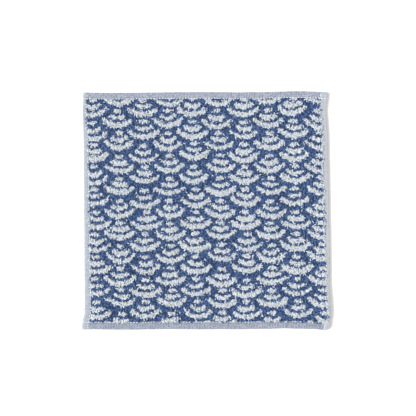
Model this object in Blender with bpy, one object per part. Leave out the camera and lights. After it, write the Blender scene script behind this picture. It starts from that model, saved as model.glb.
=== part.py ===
# A square terry towel with narrow hems, lying flat with its face up.
#
# Sizes are in metres. +X is the towel's right side, +Y its top edge and +Z its face.
# z = 0 is the surface that it lies on, and the origin is under the middle of its outline.

from collections import namedtuple

import bmesh
import bpy
import numpy as np

MM = 0.001

# The towel between its straight edges, before they stray
WIDTH = 249.1 * MM
HEIGHT = 241.2 * MM

# Heights above the surface: the loops' tops, the folded hems, and a hem over another's end
PILE_HEIGHT = 3.2 * MM
END_HEM_HEIGHT = 2.0 * MM
SIDE_HEM_HEIGHT = 2.3 * MM
CORNER_HEIGHT = 2.8 * MM

# Hem widths. The side hems run the whole height and cover the ends of the other two
LEFT_HEM = 4.4 * MM
RIGHT_HEM = 6.1 * MM
TOP_HEM = 4.8 * MM
BOTTOM_HEM = 6.4 * MM

# The hem's turned edge is round, and the pile rises from its seam over a short slope
EDGE_ROUNDING = 1.4 * MM
EDGE_SHARE = 0.45
SEAM_LIP = 0.7 * MM
PILE_SLOPE = 2.6 * MM
PILE_STEP = 6.6 * MM

# Faces of the back that meet at less than this angle, in radians, are one flat face
FLAT_ANGLE = 0.0001

CORNER_RADII = {
    "top_left": 1.2 * MM,
    "top_right": 2.2 * MM,
    "bottom_left": 1.8 * MM,
    "bottom_right": 4.2 * MM,
}

# How far an edge strays outwards from the straight one, in millimetres. "along" is counted from
# the middle of the edge, upwards on the left and right and to the right on the top and bottom.
EdgePoint = namedtuple("EdgePoint", "along outward")

LEFT_EDGE = (
    EdgePoint(-121, 2.1),
    EdgePoint(-113.5, 1.6),
    EdgePoint(-106, -0.1),
    EdgePoint(-90, -0.6),
    EdgePoint(-50, -0.45),
    EdgePoint(0, -0.05),
    EdgePoint(50, 0.25),
    EdgePoint(80, 0.65),
    EdgePoint(92, 1.2),
    EdgePoint(108, 1.15),
    EdgePoint(121, 0.7),
)
RIGHT_EDGE = (
    EdgePoint(-121, 0.9),
    EdgePoint(-115, 1.3),
    EdgePoint(-106, 2.1),
    EdgePoint(-96, 1.3),
    EdgePoint(-50, 0.9),
    EdgePoint(0, 0.1),
    EdgePoint(50, -0.8),
    EdgePoint(78, -1.4),
    EdgePoint(90, -2.1),
    EdgePoint(102, -2.9),
    EdgePoint(112, -1.9),
    EdgePoint(121, -0.8),
)
TOP_EDGE = (
    EdgePoint(-125, -0.7),
    EdgePoint(-93, -0.95),
    EdgePoint(-58, -0.65),
    EdgePoint(-7, -0.05),
    EdgePoint(34, -0.35),
    EdgePoint(64, 0.05),
    EdgePoint(94, 0.7),
    EdgePoint(107, 0.4),
    EdgePoint(125, -0.6),
)
BOTTOM_EDGE = (
    EdgePoint(-125, 0.1),
    EdgePoint(-100, 0.3),
    EdgePoint(-78, 0.55),
    EdgePoint(-58, 0.15),
    EdgePoint(0, 0.05),
    EdgePoint(44, -0.05),
    EdgePoint(64, -0.4),
    EdgePoint(79, -0.8),
    EdgePoint(95, -0.35),
    EdgePoint(108, -0.2),
    EdgePoint(119, 0.7),
    EdgePoint(125, 0.3),
)

# Soft swells and hollows of the pile, in millimetres: where, how wide and how high
Swell = namedtuple("Swell", "x y reach rise")

SWELLS = (
    Swell(-78, 62, 34, 0.22),
    Swell(-30, -58, 42, -0.2),
    Swell(22, 74, 30, -0.18),
    Swell(58, 8, 38, 0.24),
    Swell(-84, -34, 30, 0.16),
    Swell(84, -72, 32, 0.28),
    Swell(4, 12, 26, -0.14),
)

# The right edge stands a little off the surface near its lower end, in millimetres
LIFT_MIDDLE = -94
LIFT_HALF_LENGTH = 26
LIFT_INWARD = 13
LIFT_RISE = 1.1

TOWEL_COLOUR = (0.235, 0.305, 0.43, 1.0)
TOWEL_ROUGHNESS = 0.95


def smoothstep(value):
    """0 below 0, 1 above 1, and a soft rise between."""
    t = min(max(value, 0.0), 1.0)
    return t * t * (3.0 - 2.0 * t)


def stray(edge, along):
    """How far this edge strays outwards at a distance from its middle, on a curve through its points."""
    places = np.array([p.along for p in edge], float)
    values = np.array([p.outward for p in edge], float)
    slopes = np.gradient(values, places)
    spot = min(max(along / MM, places[0]), places[-1])
    i = min(int(np.searchsorted(places, spot, side="right")) - 1, len(edge) - 2)
    gap = places[i + 1] - places[i]
    t = (spot - places[i]) / gap
    rise = smoothstep(t)
    ends = values[i] * (1 - rise) + values[i + 1] * rise
    leans = gap * t * (1 - t) * (slopes[i] * (1 - t) - slopes[i + 1] * t)
    return (ends + leans) * MM


def hem_stations(hem):
    """Distances from a hemmed edge at which the cloth is cut into faces: its round edge, hem and slope."""
    edge = [0.0, EDGE_ROUNDING / 3, EDGE_ROUNDING]
    return edge + [hem / 2, hem - SEAM_LIP, hem, hem + PILE_SLOPE / 2, hem + PILE_SLOPE]


def stations(length, first_hem, last_hem):
    """The same distances from one edge to the other, with even steps over the pile."""
    first = hem_stations(first_hem)
    last = [length - distance for distance in reversed(hem_stations(last_hem))]
    steps = round((last[0] - first[-1]) / PILE_STEP)
    return first + list(np.linspace(first[-1], last[0], steps + 1)[1:-1]) + last


def round_corner(from_side, from_end, radius):
    """Moves a point near a square corner to where it lies by a rounded one."""
    if from_side >= radius or from_end >= radius:
        return from_side, from_end
    p = 1 - from_side / radius
    q = 1 - from_end / radius
    side = radius * (1 - p * (1 - q * q / 2) ** 0.5)
    end = radius * (1 - q * (1 - p * p / 2) ** 0.5)
    return side, end


def outline_place(across, up):
    """Where a point of the flat cloth lies, with the corners rounded and the edges astray."""
    right = across > WIDTH / 2
    top = up > HEIGHT / 2
    radius = CORNER_RADII[("top_" if top else "bottom_") + ("right" if right else "left")]
    side = WIDTH - across if right else across
    end = HEIGHT - up if top else up
    side, end = round_corner(side, end, radius)
    x = (WIDTH / 2 - side) if right else (side - WIDTH / 2)
    y = (HEIGHT / 2 - end) if top else (end - HEIGHT / 2)
    share_x = x / WIDTH + 0.5
    share_y = y / HEIGHT + 0.5
    moved_x = x + stray(RIGHT_EDGE, y) * share_x - stray(LEFT_EDGE, y) * (1 - share_x)
    moved_y = y + stray(TOP_EDGE, x) * share_y - stray(BOTTOM_EDGE, x) * (1 - share_y)
    return moved_x, moved_y


def hem_height(in_side_hem, in_end_hem):
    """Height of the folded hem here: the side hems lie over the ends of the top and bottom ones."""
    if in_side_hem and in_end_hem:
        return CORNER_HEIGHT
    return SIDE_HEM_HEIGHT if in_side_hem else END_HEM_HEIGHT


def swell(x, y):
    """Rise of the pile's soft swells at this place."""
    rise = 0.0
    for s in SWELLS:
        distance = ((x / MM - s.x) ** 2 + (y / MM - s.y) ** 2) ** 0.5
        rise += s.rise * smoothstep(1 - distance / s.reach)
    return rise * MM


def lift(x, y):
    """How far the cloth stands off the surface: only its right edge does, near the lower corner."""
    along = smoothstep(1 - abs(y / MM - LIFT_MIDDLE) / LIFT_HALF_LENGTH)
    inward = smoothstep(1 - (WIDTH / 2 - x) / MM / LIFT_INWARD)
    return LIFT_RISE * MM * along * inward


def thickness(across, up):
    """Height of the cloth's face over its back at a point of the flat cloth."""
    on_right = across > WIDTH / 2
    on_top = up > HEIGHT / 2
    side = min(across, WIDTH - across)
    end = min(up, HEIGHT - up)
    side_hem = RIGHT_HEM if on_right else LEFT_HEM
    end_hem = TOP_HEM if on_top else BOTTOM_HEM
    hem = hem_height(side < side_hem, end < end_hem)
    pile = min(smoothstep((side - side_hem) / PILE_SLOPE), smoothstep((end - end_hem) / PILE_SLOPE))
    top = hem + (PILE_HEIGHT + swell(across - WIDTH / 2, up - HEIGHT / 2) - hem) * pile
    outside = 1 - min(min(side, end) / EDGE_ROUNDING, 1.0)
    return top * (EDGE_SHARE + (1 - EDGE_SHARE) * (1 - outside * outside) ** 0.5)


def centre_over_origin(shape):
    """Puts the middle of the outline over the origin."""
    places = np.array([corner.co[:2] for corner in shape.verts])
    middle = (places.min(axis=0) + places.max(axis=0)) / 2
    for corner in shape.verts:
        corner.co.x -= middle[0]
        corner.co.y -= middle[1]


def towel_mesh():
    """The towel as one closed mesh: its back is a grid in the cloth's outline, extruded to its face."""
    columns = stations(WIDTH, LEFT_HEM, RIGHT_HEM)
    rows = stations(HEIGHT, BOTTOM_HEM, TOP_HEM)
    shape = bmesh.new()
    thick = shape.verts.layers.float.new("thickness")
    bmesh.ops.create_grid(shape, x_segments=len(columns) - 1, y_segments=len(rows) - 1, size=1.0)
    for corner in shape.verts:
        across = columns[round((corner.co.x + 1) / 2 * (len(columns) - 1))]
        up = rows[round((corner.co.y + 1) / 2 * (len(rows) - 1))]
        x, y = outline_place(across, up)
        corner.co = (x, y, lift(x, y))
        corner[thick] = thickness(across, up)
    centre_over_origin(shape)
    back_edges = list(shape.edges)
    raised = bmesh.ops.extrude_face_region(shape, geom=list(shape.faces), use_keep_orig=True)
    for item in raised["geom"]:
        if isinstance(item, bmesh.types.BMVert):
            item.co.z += item[thick]
    bmesh.ops.dissolve_limit(shape, angle_limit=FLAT_ANGLE, verts=[], edges=back_edges)
    bmesh.ops.recalc_face_normals(shape, faces=list(shape.faces))
    mesh = bpy.data.meshes.new("towel")
    shape.to_mesh(mesh)
    shape.free()
    return mesh


def terry_material():
    """Matt two-colour loop pile, in the mean of its blue and its white."""
    material = bpy.data.materials.new("terry")
    material.use_nodes = True
    shader = material.node_tree.nodes["Principled BSDF"]
    shader.inputs["Base Color"].default_value = TOWEL_COLOUR
    shader.inputs["Roughness"].default_value = TOWEL_ROUGHNESS
    shader.inputs["Metallic"].default_value = 0.0
    return material


def main():
    for old in list(bpy.data.objects):
        bpy.data.objects.remove(old, do_unlink=True)
    collection = bpy.data.collections.new("tenugui_towel")
    bpy.context.scene.collection.children.link(collection)
    mesh = towel_mesh()
    mesh.shade_smooth()
    mesh.materials.append(terry_material())
    collection.objects.link(bpy.data.objects.new("towel", mesh))


main()
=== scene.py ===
# A square terry towel laid flat with its face up: the ground cloth, its folded hems, the yarn
# loops on both sides and the hem stitches. Lengths in the dictionaries are in millimetres.

import math
from itertools import product

import bpy
import numpy as np
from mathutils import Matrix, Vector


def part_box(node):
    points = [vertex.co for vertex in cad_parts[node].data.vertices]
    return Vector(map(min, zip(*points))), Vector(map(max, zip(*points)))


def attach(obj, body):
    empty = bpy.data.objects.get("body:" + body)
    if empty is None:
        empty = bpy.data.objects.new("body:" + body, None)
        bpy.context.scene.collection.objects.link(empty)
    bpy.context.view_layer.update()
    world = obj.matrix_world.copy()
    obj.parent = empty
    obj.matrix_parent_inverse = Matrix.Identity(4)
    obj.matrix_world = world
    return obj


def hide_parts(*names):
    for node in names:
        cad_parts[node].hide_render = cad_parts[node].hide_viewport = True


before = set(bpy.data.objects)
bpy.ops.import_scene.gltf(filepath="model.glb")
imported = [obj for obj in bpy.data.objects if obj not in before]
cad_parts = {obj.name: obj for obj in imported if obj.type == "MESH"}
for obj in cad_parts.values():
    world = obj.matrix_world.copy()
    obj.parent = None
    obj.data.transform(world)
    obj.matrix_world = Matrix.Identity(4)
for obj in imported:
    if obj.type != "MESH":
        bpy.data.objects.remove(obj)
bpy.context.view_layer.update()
print("frame loaded:", sorted(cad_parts))

mm = 0.001
rng = np.random.default_rng(20)

# Outline of the cloth. An edge's points are (place along it, stray outwards), counted from its
# middle, upwards on the left and right edges and to the right on the top and bottom ones.
towel = {
    "width": 249.1,
    "height": 241.2,
    "leftEdge": [
        (-121, 2.1), (-113.5, 1.6), (-106, -0.1), (-90, -0.6), (-50, -0.45), (0, -0.05),
        (50, 0.25), (80, 0.65), (92, 1.2), (108, 1.15), (121, 0.7),
    ],
    "rightEdge": [
        (-121, 0.9), (-115, 1.3), (-106, 2.1), (-96, 1.3), (-50, 0.9), (0, 0.1),
        (50, -0.8), (78, -1.4), (90, -2.1), (102, -2.9), (112, -1.9), (121, -0.8),
    ],
    "topEdge": [
        (-125, -0.7), (-93, -0.95), (-58, -0.65), (-7, -0.05), (34, -0.35), (64, 0.05),
        (94, 0.7), (107, 0.4), (125, -0.6),
    ],
    "bottomEdge": [
        (-125, 0.1), (-100, 0.3), (-78, 0.55), (-58, 0.15), (0, 0.05), (44, -0.05),
        (64, -0.4), (79, -0.8), (95, -0.35), (108, -0.2), (119, 0.7), (125, 0.3),
    ],
    "cornerRadius": {"topLeft": 1.2, "topRight": 2.2, "bottomLeft": 1.8, "bottomRight": 4.2},
    # Soft swells and hollows of the pile: x, y, reach, rise
    "swells": [
        (-78, 62, 34, 0.22), (-30, -58, 42, -0.2), (22, 74, 30, -0.18), (58, 8, 38, 0.24),
        (-84, -34, 30, 0.16), (84, -72, 32, 0.28), (4, 12, 26, -0.14),
    ],
    # The right edge stands a little off the surface near its lower end
    "lift": {"middle": -94, "halfLength": 26, "inward": 13, "rise": 1.1},
    "middle": (0.0, 0.0),       # of the laid outline; centreOnFrame() sets it
}


def smooth(value):
    t = np.clip(value, 0, 1)
    return t * t * (3 - 2 * t)


def stray(points, along):
    places, outward = np.array(points, float).T
    slopes = np.gradient(outward, places)
    spot = np.clip(along, places[0], places[-1])
    i = np.clip(np.searchsorted(places, spot, side="right") - 1, 0, len(places) - 2)
    gap = places[i + 1] - places[i]
    t = (spot - places[i]) / gap
    rise = smooth(t)
    lean = gap * t * (1 - t) * (slopes[i] * (1 - t) - slopes[i + 1] * t)
    return outward[i] * (1 - rise) + outward[i + 1] * rise + lean


def layOut(across, up):
    # From the flat cut cloth, counted from its lower left corner, to where its points lie
    across, up = np.broadcast_arrays(np.asarray(across, float), np.asarray(up, float))
    width, height, radii = towel["width"], towel["height"], towel["cornerRadius"]
    right, top = across > width / 2, up > height / 2
    radius = np.where(
        top,
        np.where(right, radii["topRight"], radii["topLeft"]),
        np.where(right, radii["bottomRight"], radii["bottomLeft"]),
    )
    side = np.where(right, width - across, across)
    end = np.where(top, height - up, up)
    p, q = 1 - side / radius, 1 - end / radius
    nearCorner = (p > 0) & (q > 0)
    roundSide = radius * (1 - p * np.sqrt(np.clip(1 - q * q / 2, 0, None)))
    roundEnd = radius * (1 - q * np.sqrt(np.clip(1 - p * p / 2, 0, None)))
    side, end = np.where(nearCorner, roundSide, side), np.where(nearCorner, roundEnd, end)
    x = np.where(right, width / 2 - side, side - width / 2)
    y = np.where(top, height / 2 - end, end - height / 2)
    shareX, shareY = x / width + 0.5, y / height + 0.5
    laidX = x + stray(towel["rightEdge"], y) * shareX - stray(towel["leftEdge"], y) * (1 - shareX)
    laidY = y + stray(towel["topEdge"], x) * shareY - stray(towel["bottomEdge"], x) * (1 - shareY)
    return laidX - towel["middle"][0], laidY - towel["middle"][1]


def centreOnFrame():
    # The outline's box gets the same middle as the frame's solid
    steps = np.linspace(0, 1, 400)
    width, height = towel["width"], towel["height"]
    across = np.concatenate([steps * 0, steps * 0 + width, steps * width, steps * width])
    up = np.concatenate([steps * height, steps * height, steps * 0, steps * 0 + height])
    x, y = layOut(across, up)
    low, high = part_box("towel")
    towel["middle"] = (
        (x.min() + x.max()) / 2 - (low.x + high.x) / 2 / mm,
        (y.min() + y.max()) / 2 - (low.y + high.y) / 2 / mm,
    )


def swellAt(x, y):
    rise = np.zeros(np.shape(x))
    for middleX, middleY, reach, height in towel["swells"]:
        rise += height * smooth(1 - np.hypot(x - middleX, y - middleY) / reach)
    return rise


def liftAt(x, y):
    lift = towel["lift"]
    along = smooth(1 - np.abs(y - lift["middle"]) / lift["halfLength"])
    inward = smooth(1 - (towel["width"] / 2 - x) / lift["inward"])
    return lift["rise"] * along * inward


centreOnFrame()


def makeMesh(name, points, faces, material, tone=None):
    # points in millimetres; faces is a list of arrays, each of one count of corners
    mesh = bpy.data.meshes.new(name)
    points = np.asarray(points, float).reshape(-1, 3)
    corners = np.concatenate([np.asarray(f).ravel() for f in faces]).astype(np.int32)
    counts = np.concatenate([np.full(len(f), np.shape(f)[1]) for f in faces]).astype(np.int32)
    starts = np.concatenate([[0], np.cumsum(counts)[:-1]]).astype(np.int32)
    mesh.vertices.add(len(points))
    mesh.vertices.foreach_set("co", (points * mm).astype(np.float32).ravel())
    mesh.loops.add(len(corners))
    mesh.loops.foreach_set("vertex_index", corners)
    mesh.polygons.add(len(counts))
    mesh.polygons.foreach_set("loop_start", starts)
    mesh.polygons.foreach_set("loop_total", counts)
    mesh.update(calc_edges=True)
    mesh.validate()
    mesh.shade_smooth()
    if tone is not None:
        shade = mesh.attributes.new("tone", "FLOAT", "POINT")
        shade.data.foreach_set("value", np.asarray(tone, np.float32).ravel())
    mesh.materials.append(material)
    piece = bpy.data.objects.new(name, mesh)
    bpy.context.scene.collection.objects.link(piece)
    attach(piece, "root")
    return piece


def gridFaces(rows, columns, start=0):
    # Quads over a block of points, row by row
    corner = start + np.arange(rows - 1)[:, None] * columns + np.arange(columns - 1)[None, :]
    return np.stack([corner, corner + 1, corner + columns + 1, corner + columns], -1).reshape(-1, 4)


nearZero = 1e-9


def unit(vectors):
    return vectors / (np.linalg.norm(vectors, axis=2, keepdims=True) + nearZero)


def tubes(centres, radii, sides, first=math.pi / 2):
    # Round yarn along each row of centres (yarns, rings, 3), as points and quads. First is where
    # its first corner is: pi / 2 is up
    count, rings, _ = centres.shape
    along = unit(np.gradient(centres, axis=1))
    span = centres[:, -1:] - centres[:, :1]
    across, flat = np.cross(along, span), np.cross((0, 0, 1), span)
    isBent = np.linalg.norm(across, axis=2, keepdims=True) > 1e-3     # else its side is level
    across = np.where(isBent, across, flat)
    sameWay = np.sign((across * flat).sum(2, keepdims=True) + nearZero)
    across = np.mean(across * sameWay, axis=1, keepdims=True)
    across = unit(across - (across * along).sum(2, keepdims=True) * along)
    over = np.cross(along, across)
    turn = np.arange(sides)[:, None] / sides * 2 * math.pi + first
    ring = np.cos(turn) * across[:, :, None] + np.sin(turn) * over[:, :, None]
    points = centres[:, :, None] + ring * np.broadcast_to(radii, (count, rings))[:, :, None, None]
    start = (np.arange(count)[:, None, None] * rings + np.arange(rings - 1)[:, None]) * sides
    side = np.arange(sides)
    nextSide = (side + 1) % sides
    quads = np.stack([start + side, start + nextSide, start + sides + nextSide, start + sides + side], -1)
    return points.reshape(-1, 3), quads.reshape(-1, 4)


# Colours and nodes

matt = {
    "sheenRoughness": 0.6,
    "specular": 0.2,
}


def newMaterial(name, roughness, sheen):
    material = bpy.data.materials.new(name)
    material.use_nodes = True
    shader = material.node_tree.nodes["Principled BSDF"]
    shader.inputs["Roughness"].default_value = roughness
    shader.inputs["Sheen Weight"].default_value = sheen
    shader.inputs["Sheen Roughness"].default_value = matt["sheenRoughness"]
    shader.inputs["Specular IOR Level"].default_value = matt["specular"]
    return material, material.node_tree, shader


def addNode(tree, kind, **values):
    node = tree.nodes.new(kind)
    for key, value in values.items():
        if key in node.inputs:
            node.inputs[key].default_value = value
        else:
            setattr(node, key, value)
    return node


def ramp(tree, source, stops):
    node = tree.nodes.new("ShaderNodeValToRGB")
    while len(node.color_ramp.elements) < len(stops):
        node.color_ramp.elements.new(0.5)
    for element, (place, colour) in zip(node.color_ramp.elements, stops):
        element.position = place
        element.color = (*colour, 1)
    tree.links.new(source, node.inputs["Fac"])
    return node.outputs["Color"]


def multiplyAdd(tree, source, factor, added):
    node = addNode(tree, "ShaderNodeMath", operation="MULTIPLY_ADD")
    tree.links.new(source, node.inputs[0])
    node.inputs[1].default_value = factor
    tree.links.new(added, node.inputs[2])
    return node.outputs[0]


def addBump(tree, shader, source, strength, depth):
    bump = addNode(tree, "ShaderNodeBump", Strength=strength, Distance=depth * mm)
    tree.links.new(source, bump.inputs["Height"])
    tree.links.new(bump.outputs["Normal"], shader.inputs["Normal"])


yarns = {
    "white": {"dark": (0.55, 0.60, 0.655), "middle": (0.682, 0.728, 0.768), "light": (0.778, 0.81, 0.832)},
    "blue": {"dark": (0.007, 0.031, 0.105), "middle": (0.049, 0.128, 0.354), "light": (0.101, 0.194, 0.404)},
    "stops": {"dark": 0.1, "middle": 0.6, "light": 1.0},    # tones at which a yarn has these colours
    "roughness": 0.92,
    "sheen": 0.25,
    "fleckShare": 0.7,      # how much the flecks add to the tone
    "fleckSize": 1100,      # per metre
    "fibreSize": 3800,
    "fibreDepth": 0.12,
}


def yarnMaterial(name, colours):
    material, tree, shader = newMaterial(name, yarns["roughness"], yarns["sheen"])
    tone = addNode(tree, "ShaderNodeAttribute", attribute_name="tone")
    place = tree.nodes.new("ShaderNodeTexCoord").outputs["Object"]
    fleck = addNode(tree, "ShaderNodeTexNoise", Scale=yarns["fleckSize"], Detail=3.0, Roughness=0.6)
    fibre = addNode(tree, "ShaderNodeTexNoise", Scale=yarns["fibreSize"], Detail=2.0)
    tree.links.new(place, fleck.inputs["Vector"])
    tree.links.new(place, fibre.inputs["Vector"])
    flecked = multiplyAdd(tree, fleck.outputs["Fac"], yarns["fleckShare"], tone.outputs["Fac"])
    stops = [(yarns["stops"][shade], colour) for shade, colour in colours.items()]
    tree.links.new(ramp(tree, flecked, stops), shader.inputs["Base Color"])
    addBump(tree, shader, fibre.outputs["Fac"], strength=0.6, depth=yarns["fibreDepth"])
    return material


weave = {
    "side": {"dark": (0.225, 0.262, 0.337), "light": (0.53, 0.563, 0.597)},
    "sideEdge": {"dark": (0.435, 0.485, 0.545), "light": (0.70, 0.75, 0.785)},
    "end": {"dark": (0.128, 0.159, 0.248), "light": (0.492, 0.523, 0.585)},
    # Darker end-hem colours, mixed in all over an end hem and along its seam, where they are painted shade of
    # the pucker
    "endDarkerAndSeamShade": {"dark": (0.09, 0.115, 0.185), "light": (0.355, 0.38, 0.43)},
    # The ground cloth's two colours, under the blue loops and under the white ones, are darker than the
    # yarns: painted shade of the gaps between the loops
    "ground": {"dark": (0.013, 0.034, 0.092), "light": (0.050, 0.095, 0.200)},
    "shadedWhiteGround": {"dark": (0.34, 0.385, 0.45), "light": (0.59, 0.63, 0.675)},
    "stops": {"dark": 0.32, "light": 0.78},
    "roughness": 0.9,
    "sheen": 0.2,
    "threadPitch": 0.55,
    "threadDepth": 0.09,
    "threadShare": 0.35,     # how much the threads' crossings add to the tone
    "heather": 760,          # per metre
    "ribPitch": 2.65,        # of the ribs across the end hems
    # Painted shade on the right side of each end-hem rib, the side turned from the key light
    "ribShadeShare": 0.085,
}


def addWave(tree, place, direction, pitch, distortion, detailScale):
    # Blender's wave repeats every pi / 10 at Scale 1
    wave = addNode(tree, "ShaderNodeTexWave", bands_direction=direction, Distortion=distortion, Detail=1.0)
    wave.inputs["Scale"].default_value = math.pi / (pitch * mm) / 10
    wave.inputs["Detail Scale"].default_value = detailScale
    tree.links.new(place, wave.inputs["Vector"])
    return wave.outputs["Fac"]


def wovenColour(tree, shade, colours):
    return ramp(tree, shade, [(weave["stops"][end], colour) for end, colour in colours.items()])


def wovenMaterial(name, colours, others=None, ribShade=0.0):
    # Plain weave of blue and white threads: two crossed waves, mottled. Others are the colours
    # where the mesh's tone is 1, and the last argument is how much darker the right side of each rib is:
    # painted shade of the side turned from the key light
    material, tree, shader = newMaterial(name, weave["roughness"], weave["sheen"])
    place = tree.nodes.new("ShaderNodeTexCoord").outputs["Object"]
    threads = []
    for direction in ("X", "Y"):
        threads.append(addWave(tree, place, direction, weave["threadPitch"], distortion=1.2, detailScale=2.0))
    cross = addNode(tree, "ShaderNodeMath", operation="MULTIPLY")
    tree.links.new(threads[0], cross.inputs[0])
    tree.links.new(threads[1], cross.inputs[1])
    heather = addNode(tree, "ShaderNodeTexNoise", Scale=weave["heather"], Detail=3.0, Roughness=0.65)
    tree.links.new(place, heather.inputs["Vector"])
    shade = multiplyAdd(tree, cross.outputs[0], weave["threadShare"], heather.outputs["Fac"])
    if ribShade:
        # Painted shade: darker on the right side of each rib
        rib = addWave(tree, place, "X", weave["ribPitch"], distortion=0.4, detailScale=1.0)
        shade = multiplyAdd(tree, rib, -ribShade, shade)
    colour = wovenColour(tree, shade, colours)
    if others:
        tone = addNode(tree, "ShaderNodeAttribute", attribute_name="tone")
        change = addNode(tree, "ShaderNodeMix", data_type="RGBA")
        tree.links.new(tone.outputs["Fac"], change.inputs["Factor"])
        tree.links.new(colour, change.inputs[6])        # A, the first colour
        tree.links.new(wovenColour(tree, shade, others), change.inputs[7])
        colour = change.outputs[2]
    tree.links.new(colour, shader.inputs["Base Color"])
    addBump(tree, shader, cross.outputs[0], strength=0.8, depth=weave["threadDepth"])
    return material


print("wave pattern")

# Rows of scales, each of two white arcs and a white dot, on a blue ground. The scales' circles
# stand in columns, and every other column is half a row higher.
waves = {
    "columns": range(-1, 12),
    "rows": range(-2, 13),
    "columnPitch": 25.55,
    "rowPitch": 22.86,
    "firstColumn": -113.6,
    "leanPerRow": 0.19,         # each row of scales stands this much further right than the one above
    "uprightRow": 4,            # where that is counted from
    "firstRow": 98.25,          # lowest point of row 0's outer arcs, in an even column
    "outer": {"radius": 19.07, "thickness": 4.58, "halfAngle": 45, "strayShare": 1.0},
    "inner": {"radius": 11.44, "thickness": 4.24, "halfAngle": 37, "strayShare": 0.7},
    "dot": {"below": 3.95, "halfWidth": 4.0, "halfHeight": 1.9, "firmness": 3},
    "reach": {"across": 20, "below": 10, "upAndDown": 16},      # of a scale, from its circle's middle
    "taper": 0.25,              # of an arc's thickness towards its ends
    "ripple": {"height": 0.36, "fine": 1.3, "coarse": 0.74},    # of its edges; radians a millimetre
    "fullness": 0.27,           # each arc is thicker or thinner by about twice this
    "bend": (0.1, 0.8),         # least and most that an arc strays from its circle
    "tilt": 2,                  # degrees of tilt for each millimetre of unevenness
    "ragged": 0.5,              # spread of the loops that stand over the colours' edges
    "unevenness": 0.58,         # each scale's place and size stray by about this much
    "seed": 7,
}


def isWhite(x, y, ragged=0.0):
    # x and y count from the middle of the cut cloth; ragged moves the colours' edges at each place
    white = np.zeros(np.shape(x), bool)
    scaleRng = np.random.default_rng(waves["seed"])
    outer, dot, reach, ripple = waves["outer"], waves["dot"], waves["reach"], waves["ripple"]
    for column, row in product(waves["columns"], waves["rows"]):
        strayX, strayY, strayR, strayTilt = scaleRng.normal(0, waves["unevenness"], 4)
        bend, phase = scaleRng.uniform(*waves["bend"]), scaleRng.uniform(0, 2 * math.pi)
        fuller = scaleRng.normal(0, waves["fullness"], 2)
        lean = (row - waves["uprightRow"]) * waves["leanPerRow"]
        middleX = waves["firstColumn"] + column * waves["columnPitch"] + lean + strayX
        higher = (0.5 if column % 2 else 0) * waves["rowPitch"]
        middleY = waves["firstRow"] + higher - row * waves["rowPitch"] + outer["radius"] + strayY
        dx, dy = x - middleX, middleY - y
        near = (np.abs(dx) < reach["across"]) & (np.abs(dy - reach["below"]) < reach["upAndDown"])
        if not near.any():
            continue
        dx, dy, rough = dx[near], dy[near], np.broadcast_to(ragged, np.shape(x))[near]
        distance = np.hypot(dx, dy)
        angle = np.arctan2(dx, dy) + math.radians(strayTilt * waves["tilt"])
        fromDot = np.hypot(dx / dot["halfWidth"], (dy - dot["below"]) / dot["halfHeight"])
        found = fromDot < 1 + rough / dot["firmness"]
        for arc, more in zip((outer, waves["inner"]), fuller):
            radius = arc["radius"] + strayR * arc["strayShare"] + bend * np.sin(3 * angle + phase)
            halfAngle = math.radians(arc["halfAngle"])
            past = np.clip(np.abs(angle) - halfAngle, 0, None) * radius
            half = arc["thickness"] / 2 * (1 - waves["taper"] * (angle / halfAngle) ** 2)
            along = angle * radius
            wavy = np.sin(along * ripple["fine"] + phase * 2) + np.sin(along * ripple["coarse"] + phase * 3)
            found |= np.hypot(distance - radius, past) < half + more + rough + wavy * ripple["height"]
        white[near] |= found
    return white


print("ground cloth")

ground = {
    "face": 1.75,       # height of its upper side under the loops
    "thickness": 0.65,
    "step": 4.2,        # of its lower side
    "split": 3,         # steps of the upper side in one of the lower side
    "tuck": {"left": 3.4, "right": 4.5, "top": 1.2, "bottom": 1.2},     # how far it runs into the hems
    "dip": 0.3,         # of its upper side there
}
hemWidth = {"left": 6.6, "right": 7.8, "top": 7.1, "bottom": 8.3}
# The side hems are wider or narrower in places: (place along the edge, share of the width)
hemShare = {
    "left": [
        (0, 1.08), (40, 1.08), (120, 0.94), (180, 0.84),
        (215, 0.66), (231, 0.64), (236, 0.78), (241, 0.78),
    ],
    "right": [
        (0, 0.85), (8, 0.7), (13, 0.54), (40, 0.52), (75, 0.68),
        (110, 0.8), (210, 0.85), (225, 1.0), (241, 1.0),
    ],
    "top": [(0, 1.0), (241, 1.0)],
    "bottom": [(0, 1.0), (241, 1.0)],
}
# Where the pile begins: (place along the edge, distance in from it)
pileEdge = {
    "left": [(0, 6.8), (40, 6.8), (60, 6.4), (120, 5.8), (180, 5.1), (215, 4.0), (241, 3.9)],
    "right": [
        (0, 4.4), (12, 3.1), (40, 3.0), (75, 4.4), (110, 5.1),
        (130, 5.0), (170, 5.6), (210, 5.6), (228, 7.0), (241, 7.2),
    ],
    "top": [(0, 7.2), (80, 7.9), (160, 7.6), (230, 7.7), (249, 6.6)],
    "bottom": [(0, 7.4), (60, 8.1), (190, 8.0), (249, 6.6)],
}


def hemAt(name, along):
    # Width of this hem here
    return hemWidth[name] * np.interp(along, *np.array(hemShare[name], float).T)


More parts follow.
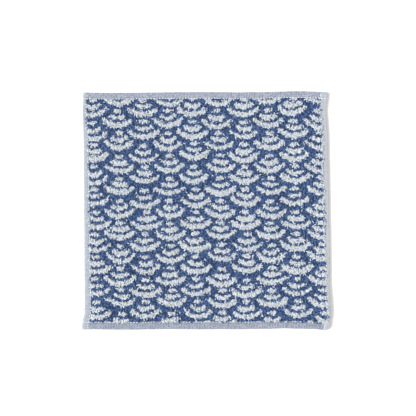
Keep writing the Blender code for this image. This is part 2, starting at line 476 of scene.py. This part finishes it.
def makeGround():
    # Its upper side is a fine grid that carries the two colours, darkened as painted shade of the gaps
    # between the loops, and its lower side a coarse one
    width, height = towel["width"], towel["height"]
    tuck = ground["tuck"]
    left, right = hemWidth["left"] - tuck["left"], width - hemWidth["right"] + tuck["right"]
    bottom, top = hemWidth["bottom"] - tuck["bottom"], height - hemWidth["top"] + tuck["top"]
    split = ground["split"]
    across = np.linspace(left, right, round((right - left) / ground["step"]) * split + 1)
    up = np.linspace(bottom, top, round((top - bottom) / ground["step"]) * split + 1)
    across, up = np.meshgrid(across, up)
    x, y = layOut(across, up)
    shown = np.minimum(across - hemAt("left", up), width - across - hemAt("right", up))
    face = ground["face"] + swellAt(x, y) + liftAt(x, y) - ground["dip"] * (shown < 0)
    white = isWhite(across - width / 2, up - height / 2).astype(float)
    upper = np.stack([x, y, face], -1)
    lower = np.stack([x, y, face - ground["thickness"]], -1)[::split, ::split]
    rows, columns = x.shape
    lowRows, lowColumns = lower.shape[:2]
    size = rows * columns
    fine = np.arange(size).reshape(rows, columns)
    coarse = size + np.arange(lowRows * lowColumns).reshape(lowRows, lowColumns)
    rims = []
    for index in (fine, coarse):
        rims.append(np.concatenate([index[0, :-1], index[:-1, -1], index[-1, :0:-1], index[:0:-1, 0]]))
    above = rims[0].reshape(-1, split)
    aboveEnd = np.roll(rims[0], -split).reshape(-1, split)[:, :1]
    faces = [
        gridFaces(rows, columns),
        gridFaces(lowRows, lowColumns, size)[:, ::-1],
        np.concatenate([aboveEnd, above[:, ::-1], rims[1][:, None], np.roll(rims[1], -1)[:, None]], axis=1),
    ]
    points = np.concatenate([upper.reshape(-1, 3), lower.reshape(-1, 3)])
    tone = np.concatenate([white.ravel(), 1 - white[::split, ::split].ravel()])
    # Its colours carry painted shade of the gaps between the loops
    cloth = wovenMaterial("shadedGroundWeave", weave["ground"], weave["shadedWhiteGround"])
    return makeMesh("ground_cloth", points, faces, cloth, tone)


groundCloth = makeGround()
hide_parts("towel")

print("hems")

hem = {
    "endHeight": 2.0,           # of the top and bottom hems
    "sideHeight": 2.3,
    "cornerHeight": 2.5,        # where a side hem covers another hem's end
    "cornerSlope": {"length": 3, "share": 0.6},     # share of it that is over the other hem
    "under": 0.05,
    "step": 0.65,               # along the hem
    "stitchInset": 0.85,        # of the stitches, from the hem's inner edge
    "topFrom": 0.6,             # share of its height from which it has ribs and puckers
    "topSlope": 0.3,
    "ribHeight": 0.06,
    "ribDrift": {"turn": 0.4, "length": 9},
    "pucker": 0.16,             # of the cloth between its stitches
    "puckerReach": 1.5,
    "endRounding": 1.3,
    "endLow": (0.1, 0.9),       # share of its height at a side hem's very end, and the rest
    "endReach": 1.7,
    "endSteps": [0, 0.1, 0.3, 0.65, 1.15],
    "overlap": 0.15,            # of a side hem past the ends of the others
    "endStart": 0.4,            # share of a side hem's width at which an end hem begins under it
    "covered": (0.7, 0.3),      # share of an end hem's height there, and the rest
    "coverSlope": 0.8,
    "wobble": {"first": -6, "last": 262, "pitch": 4.3, "spread": 0.07},     # of the turned edge
    "paleEdge": 4,              # width of the right hem's paler edge
    "seam": {"inset": 1.0, "reach": 0.6},           # the painted shade of the pucker beside an end hem's stitches, as a darker line
    "seamTone": {"top": (0.0, 0.4), "bottom": (0.22, 0.78)},    # darker all over the hem, and more there as painted shade
    "outermost": 7,             # the profile's point at the turned edge
}


def hemProfile(width):
    # The folded hem cut across: distance in from its turned edge, and share of its height
    inset = width - hem["stitchInset"]
    under = [(width, 0.3), (width - 0.5, 0.0), (width * 0.6, 0.0), (width * 0.35, 0.0), (1.0, 0.02)]
    turned = [(0.42, 0.12), (0.11, 0.3), (0.0, 0.52), (0.13, 0.73), (0.48, 0.9), (1.0, 0.99)]
    upper = [(width * 0.35, 1.03), (width * 0.6, 1.0)]
    stitched = [(inset - 0.6, 0.95), (inset, 0.8), (inset + 0.45, 0.86), (width, 0.62)]
    return np.array(under + turned + upper + stitched)


def hemTop(distance, width):
    profile = hemProfile(width)[hem["outermost"]:]
    return np.interp(distance, profile[:, 0], profile[:, 1])


def hemHeight(name, along):
    if name in ("top", "bottom"):
        return np.full(np.shape(along), hem["endHeight"])
    toEnd = np.minimum(along - hemWidth["bottom"], towel["height"] - hemWidth["top"] - along)
    down = smooth(toEnd / hem["cornerSlope"]["length"] + hem["cornerSlope"]["share"])
    return hem["cornerHeight"] + (hem["sideHeight"] - hem["cornerHeight"]) * down


def hemPlace(name, along, distance):
    width, height = towel["width"], towel["height"]
    if name == "left":
        return distance, along
    if name == "right":
        return width - distance, along
    if name == "bottom":
        return along, distance
    return along, height - distance


def hemStations(name):
    # Places along the hem, closer together at its ends
    if name in ("left", "right"):
        start, stop = -hem["overlap"], towel["height"] + hem["overlap"]
    else:
        start = hemWidth["left"] * hem["endStart"]
        stop = towel["width"] - hemWidth["right"] * hem["endStart"]
    ends = np.array(hem["endSteps"])
    first, last = start + hem["endReach"], stop - hem["endReach"]
    middle = np.linspace(first, last, round((last - first) / hem["step"]) + 1)
    return np.concatenate([start + ends, middle, stop - ends[::-1]])[:, None]


def endShare(name, along):
    # A side hem is rounded at its ends, and an end hem is thinner where a side one covers it
    if name in ("left", "right"):
        low, rest = hem["endLow"]
        fromEnd = np.minimum(along - along[0], along[-1] - along) / hem["endRounding"]
        return low + rest * np.sqrt(1 - (1 - np.clip(fromEnd, 0, 1)) ** 2)
    thin, rest = hem["covered"]
    end = towel["height"] if name == "top" else 0
    shown = np.minimum(along - hemAt("left", end), towel["width"] - hemAt("right", end) - along)
    return thin + rest * smooth(shown / hem["coverSlope"] + 1)


def hemRelief(name, x, along, distance):
    # Ribs across an end hem, and puckers between the stitches of every hem
    drift = hem["ribDrift"]["turn"] * np.sin(along / hem["ribDrift"]["length"])
    isEnd = name in ("top", "bottom")
    rib = hem["ribHeight"] * np.sin(2 * math.pi * x / weave["ribPitch"] + drift) * isEnd
    toStitch = np.abs(distance - (hemWidth[name] - hem["stitchInset"]))
    fade = np.exp(-((toStitch / hem["puckerReach"]) ** 2))
    return rib - hem["pucker"] * np.cos(2 * math.pi * along / stitching["pitch"]) * fade


def hemTone(name, along, distance, onTop):
    # Paler at the right one's turned edge; an end one is darker all over by a set share, and darker still
    # along its seam as painted shade of the pucker there
    tone = 0 * along + np.clip(1 - distance / hem["paleEdge"], 0, 1) ** 2 * (name == "right")
    if name in hem["seamTone"]:
        # Painted shade along the pucker beside the stitches
        fromSeamShade = distance - hemWidth[name] + hem["stitchInset"] + hem["seam"]["inset"]
        seam = np.exp(-((fromSeamShade / hem["seam"]["reach"]) ** 2)) * onTop
        everywhere, more = hem["seamTone"][name]
        tone = tone + (everywhere + seam * more)
    return tone


def makeHem(name, material):
    width, along = hemWidth[name], hemStations(name)
    profile = hemProfile(width)
    distance, share = profile[None, :, 0], profile[None, :, 1]
    uneven = hem["wobble"]
    spots = np.arange(uneven["first"], uneven["last"], uneven["pitch"])
    wobble = np.interp(along, spots, rng.normal(0, uneven["spread"], len(spots)))
    laid = (distance - wobble * (1 - distance / width)) * hemAt(name, along) / width
    across, up = hemPlace(name, along + 0 * distance, laid)
    x, y = layOut(across, up)
    tall = 0.5 + (share - 0.5) * endShare(name, along)
    onTop = smooth((share - hem["topFrom"]) / hem["topSlope"])
    z = hem["under"] + (hemHeight(name, along) - hem["under"]) * tall
    z = z + hemRelief(name, x, along, distance) * onTop + liftAt(x, y)
    index = np.arange(z.size).reshape(z.shape)
    nextIndex = np.roll(index, -1, axis=1)
    quads = np.stack([index[:-1], nextIndex[:-1], nextIndex[1:], index[1:]], -1).reshape(-1, 4)
    if name in ("left", "top"):
        quads = quads[:, ::-1]
        caps = np.stack([index[0], index[-1][::-1]])
    else:
        caps = np.stack([index[0][::-1], index[-1]])
    tone = hemTone(name, along, distance, onTop)
    piece = makeMesh("hem_" + name, np.stack([x, y, z], -1), [quads, caps], material, tone)
    for cap in list(piece.data.polygons)[-2:]:
        cap.use_smooth = False
    return piece


stitching = {
    "pitch": 2.95,
    "length": 1.75,
    "radius": 0.4,
    "proud": 0.2,               # height of a stitch's middle line over the hem
    "dive": 0.34,               # of its ends
    "firstAt": 1.8,
    "lastBefore": 1.2,          # from the edge's end
    "spread": 0.06,
    "rings": 5,
    "sides": 4,
    "tone": (0.2, 0.6),
}
thread = {"dark": (0.68, 0.715, 0.77), "middle": (0.80, 0.83, 0.87), "light": (0.87, 0.89, 0.91)}

sideWeave = wovenMaterial("sideHemWeave", weave["side"], weave["sideEdge"])
# The end hems' weave carries painted shade along the seam and on the right side of each rib
endWeave = wovenMaterial("endHemWeave", weave["end"], weave["endDarkerAndSeamShade"], weave["ribShadeShare"])
hemWeaves = {"top": endWeave, "bottom": endWeave, "left": sideWeave, "right": sideWeave}
hemPieces = [makeHem(name, material) for name, material in hemWeaves.items()]


def hemSurface(across, up):
    # Height of the uppermost hem here
    width, height = towel["width"], towel["height"]
    top = np.zeros(np.shape(across))
    for name, distance, along in (
        ("left", across, up),
        ("right", width - across, up),
        ("bottom", up, across),
        ("top", height - up, across),
    ):
        here = hemHeight(name, along) * hemTop(distance * hemWidth[name] / hemAt(name, along), hemWidth[name])
        top = np.maximum(top, np.where(distance <= hemAt(name, along), here, 0))
    return np.maximum(top, ground["face"])


def makeStitches():
    lines = []
    reach = np.linspace(-0.5, 0.5, stitching["rings"])
    arch = stitching["proud"] - stitching["dive"] * (2 * np.abs(reach)) ** 4
    for name in ("left", "right", "bottom", "top"):
        length = towel["height"] if name in ("left", "right") else towel["width"]
        middles = np.arange(stitching["firstAt"], length - stitching["lastBefore"], stitching["pitch"])
        along = middles[:, None] + reach[None, :] * stitching["length"]
        strayed = rng.normal(0, stitching["spread"], len(middles))[:, None]
        distance = hemWidth[name] - hem["stitchInset"] + strayed + 0 * along
        across, up = hemPlace(name, along, distance * hemAt(name, along) / hemWidth[name])
        x, y = layOut(across, up)
        lines.append(np.stack([x, y, hemSurface(across, up) + arch + liftAt(x, y)], -1))
    centres = np.concatenate(lines)
    points, quads = tubes(centres, stitching["radius"], stitching["sides"])
    tone = rng.uniform(*stitching["tone"], len(centres))
    tone = np.repeat(tone, stitching["rings"] * stitching["sides"])
    piece = makeMesh("hem_stitches", points, [quads], yarnMaterial("sewingThread", thread), tone)
    return piece


stitches = makeStitches()

print("loops")

# How the loops of one colour on one side stand, in millimetres and degrees, and what all share
pile = {
    "faceWhite": {
        "columnPitch": 1.2,
        "rowPitch": 1.26,
        "jitter": 0.27,
        "yarnRadius": 0.54,
        "height": 1.0,              # of a loop's middle line over the ground cloth
        "heightSpread": 0.2,
        "length": 2.2,
        "lengthSpread": 0.5,
        "tone": (0.31, 0.14),       # mean and spread, from dark to light
        "turn": 55,                 # spread of the loops' directions about downwards
        "roll": 22,                 # spread of how far they tip over sideways
        "sink": 0.32,               # depth of their ends in the ground cloth
        "rings": 5,
        "bands": 3,                 # pieces that they are shared out to, from the bottom up
    },
    "faceBlue": {
        "columnPitch": 1.63,
        "rowPitch": 1.72,
        "jitter": 0.4,
        "yarnRadius": 0.54,
        "height": 0.86,
        "heightSpread": 0.28,
        "length": 2.0,
        "lengthSpread": 0.45,
        "tone": (0.3, 0.36),
        "turn": 60,
        "roll": 26,
        "sink": 0.32,
        "rings": 5,
        "bands": 2,
    },
    "back": {
        "columnPitch": 2.0,
        "rowPitch": 1.98,
        "jitter": 0.3,
        "yarnRadius": 0.74,
        "height": 0.5,
        "heightSpread": 0.06,
        "length": 3.0,
        "lengthSpread": 0.4,
        "tone": (0.24, 0.2),
        "turn": 50,
        "roll": 20,
        "sink": 0.3,
        "rings": 4,
        "bands": 2,
    },
    "sides": 3,                     # the yarn's flat side is outermost
    "ends": {"face": 0.6, "back": 0.42},    # share of the yarn's radius where it meets the ground cloth
    "middle": 1.08,                 # share of it at a loop's top
    "radiusSpread": 0.08,
    "radiusLimits": (0.8, 1.2),
    "rollLimit": 50,
    "leastLength": 1.0,
    "leastHeight": 0.35,
    "bluntness": 0.7,               # power of the arch: 1 is round, and less is squarer
    "margin": 2.5,                  # from the cut cloth's edge to the first row of places
    "shows": (0.5, 0.8),            # how far along its lean a loop is seen, sideways and downwards
    "strayShare": 0.12,             # of the places just outside the pile that have a loop
    "strayReach": 1.0,
    "strayRise": 0.7,               # they stand up to this much higher, on the hem
    "swellShare": 0.9,              # how far the back's loops follow the swells
    "wrongShare": 0.01,             # of the loops in the other colour's areas
}


def insidePile(across, up):
    # How far inside the pile's edge a place is; the edge itself wanders a little
    edges = []
    for name, distance, along in (
        ("left", across, up),
        ("right", towel["width"] - across, up),
        ("bottom", up, across),
        ("top", towel["height"] - up, across),
    ):
        spots, starts = np.array(pileEdge[name], float).T
        edges.append(distance - np.interp(along, spots, starts))
    return np.min(edges, axis=0)


def loopPlaces(side, colour, sizes):
    # Where the loops begin on the cut cloth, which way they lean, and how far inside the pile's
    # edge they are
    width, height = towel["width"], towel["height"]
    columns = np.arange(pile["margin"], width - pile["margin"], sizes["columnPitch"])
    rows = np.arange(pile["margin"], height - pile["margin"], sizes["rowPitch"])
    across, up = np.meshgrid(columns, rows)
    up = up + (np.arange(len(columns)) % 2 * sizes["rowPitch"] / 2)[None, :]
    count = across.size
    across = across.ravel() + rng.normal(0, sizes["jitter"], count)
    up = up.ravel() + rng.normal(0, sizes["jitter"], count)
    turn = np.radians(rng.normal(0, sizes["turn"], count))
    leanX, leanY = np.sin(turn), -np.cos(turn)
    inside = insidePile(across, up + leanY * sizes["length"] / 2)
    isStray = (inside > -pile["strayReach"]) & (rng.random(count) < pile["strayShare"]) & (side == "face")
    ragged = rng.normal(0, waves["ragged"], count)
    seenX, seenY = leanX * pile["shows"][0], leanY * pile["shows"][1]
    white = isWhite(across - width / 2 + seenX, up - height / 2 + seenY, ragged)
    white ^= rng.random(count) < pile["wrongShare"]
    isMine = white == ((colour == "white") == (side == "face"))
    isThere = ((inside > 0) | isStray) & isMine
    return [values[isThere] for values in (across, up, leanX, leanY, inside)]


def loopShapes(side, sizes, across, up, leanX, leanY, inside):
    # The middle line of each loop, and the yarn's radii along it
    count = len(across)
    tilt = rng.normal(0, sizes["roll"], count).clip(-pile["rollLimit"], pile["rollLimit"])
    roll = np.tan(np.radians(tilt))
    length = rng.normal(sizes["length"], sizes["lengthSpread"], count).clip(pile["leastLength"], None)
    tall = rng.normal(sizes["height"], sizes["heightSpread"], count).clip(pile["leastHeight"], None)
    radii = sizes["yarnRadius"] * rng.normal(1, pile["radiusSpread"], count).clip(*pile["radiusLimits"])
    x, y = layOut(across, up)
    swell = swellAt(x, y)
    if side == "face":
        facing = 1
        base = ground["face"] + swell + liftAt(x, y) + np.clip(-inside, 0, pile["strayRise"])
    else:
        facing = -1
        base = ground["face"] + swell + liftAt(x, y) - ground["thickness"]
        tall += swell * pile["swellShare"]
    t = np.linspace(0, math.pi, sizes["rings"])
    ends = pile["ends"][side]
    radii = (ends + (pile["middle"] - ends) * np.sin(t))[None, :] * radii[:, None]
    forward = length[:, None] * (1 - np.cos(t))[None, :] / 2
    arch = np.sin(t)[None, :] ** pile["bluntness"]
    rise = arch * (tall[:, None] + sizes["sink"]) - sizes["sink"]
    sideways = roll[:, None] * np.sin(t)[None, :] * tall[:, None]
    lineX = x[:, None] + leanX[:, None] * forward - leanY[:, None] * sideways
    lineY = y[:, None] + leanY[:, None] * forward + leanX[:, None] * sideways
    lineZ = base[:, None] + facing * rise
    if side == "back":
        lineZ = np.maximum(lineZ, radii)
    return np.stack([lineX, lineY, lineZ], -1), radii


def makeLoops(side, colour):
    sizes = pile["back"] if side == "back" else pile[side + colour.title()]
    across, up, leanX, leanY, inside = loopPlaces(side, colour, sizes)
    centres, radii = loopShapes(side, sizes, across, up, leanX, leanY, inside)
    tone = rng.normal(*sizes["tone"], len(across))
    band = np.minimum((up / towel["height"] * sizes["bands"]).astype(int), sizes["bands"] - 1)
    firstCorner = -math.pi / 2 if side == "face" else math.pi / 2
    made = []
    for number in range(sizes["bands"]):
        use = band == number
        points, quads = tubes(centres[use], radii[use], pile["sides"], firstCorner)
        shades = np.repeat(tone[use], sizes["rings"] * pile["sides"])
        name = f"loops_{side}_{colour}_{number + 1}"
        piece = makeMesh(name, points, [quads], yarnMaterials[colour], shades)
        made.append(piece)
    print(side, colour, "loops:", len(across))
    return made


yarnMaterials = {colour: yarnMaterial(colour + "Yarn", yarns[colour]) for colour in ("white", "blue")}
loops = []
for side, colour in product(("face", "back"), ("white", "blue")):
    loops += makeLoops(side, colour)

print("floor, lights and camera")

studio = {
    "floorSize": 24.0,          # metres
    "floorHeight": -0.05,
    "floorColour": (0.9, 0.9, 0.9),
    "floorGrain": 0.99,         # share of that colour in the darkest grains
    "sky": 0.8,
    "skyColour": (1.0, 0.965, 0.93),
    "keyStrength": 3.2,
    "keyColour": (0.96, 1.0, 1.04),
    "keyAngle": 20,             # degrees: softness of its shadows
    "keyHeight": 35,            # degrees over the floor
    "keyFrom": 186,             # degrees round from +X
    "lens": 90.0,
    "sensor": 36.0,
    "frameWidth": 422.7,        # what the picture takes in at the towel
    "aim": (1.66, 2.65, 2.0),   # what is at the middle of the picture
}


def makeFloor():
    material, tree, shader = newMaterial("paleFloor", roughness=0.95, sheen=0.0)
    place = tree.nodes.new("ShaderNodeTexCoord").outputs["Object"]
    grain = addNode(tree, "ShaderNodeTexNoise", Scale=600.0, Detail=2.0)
    tree.links.new(place, grain.inputs["Vector"])
    pale = studio["floorColour"]
    dark = tuple(channel * studio["floorGrain"] for channel in pale)
    colour = ramp(tree, grain.outputs["Fac"], [(0.0, dark), (1.0, pale)])
    tree.links.new(colour, shader.inputs["Base Color"])
    half, height = studio["floorSize"] / 2, studio["floorHeight"] * mm
    corners = [(x * half, y * half, height) for x, y in ((-1, -1), (1, -1), (1, 1), (-1, 1))]
    mesh = bpy.data.meshes.new("floor")
    mesh.from_pydata(corners, [], [(0, 1, 2, 3)])
    mesh.materials.append(material)
    floor = bpy.data.objects.new("floor", mesh)
    bpy.context.scene.collection.objects.link(floor)


def makeLights():
    world = bpy.data.worlds.new("studioAir")
    world.use_nodes = True
    background = world.node_tree.nodes["Background"]
    background.inputs["Color"].default_value = (*studio["skyColour"], 1)
    background.inputs["Strength"].default_value = studio["sky"]
    bpy.context.scene.world = world
    key = bpy.data.lights.new("keyLight", "SUN")
    key.energy = studio["keyStrength"]
    key.color = studio["keyColour"]
    key.angle = math.radians(studio["keyAngle"])
    lamp = bpy.data.objects.new("keyLight", key)
    lamp.rotation_euler = (0, math.radians(90 - studio["keyHeight"]), math.radians(studio["keyFrom"]))
    bpy.context.scene.collection.objects.link(lamp)


def makeCamera():
    data = bpy.data.cameras.new("camera")
    data.lens, data.sensor_width = studio["lens"], studio["sensor"]
    camera = bpy.data.objects.new("camera", data)
    distance = studio["frameWidth"] * mm * studio["lens"] / studio["sensor"]
    aimX, aimY, aimZ = studio["aim"]
    camera.location = (aimX * mm, aimY * mm, distance + aimZ * mm)
    bpy.context.scene.collection.objects.link(camera)
    bpy.context.scene.camera = camera


makeFloor()
makeLights()
makeCamera()
bpy.context.scene.view_settings.view_transform = "Standard"
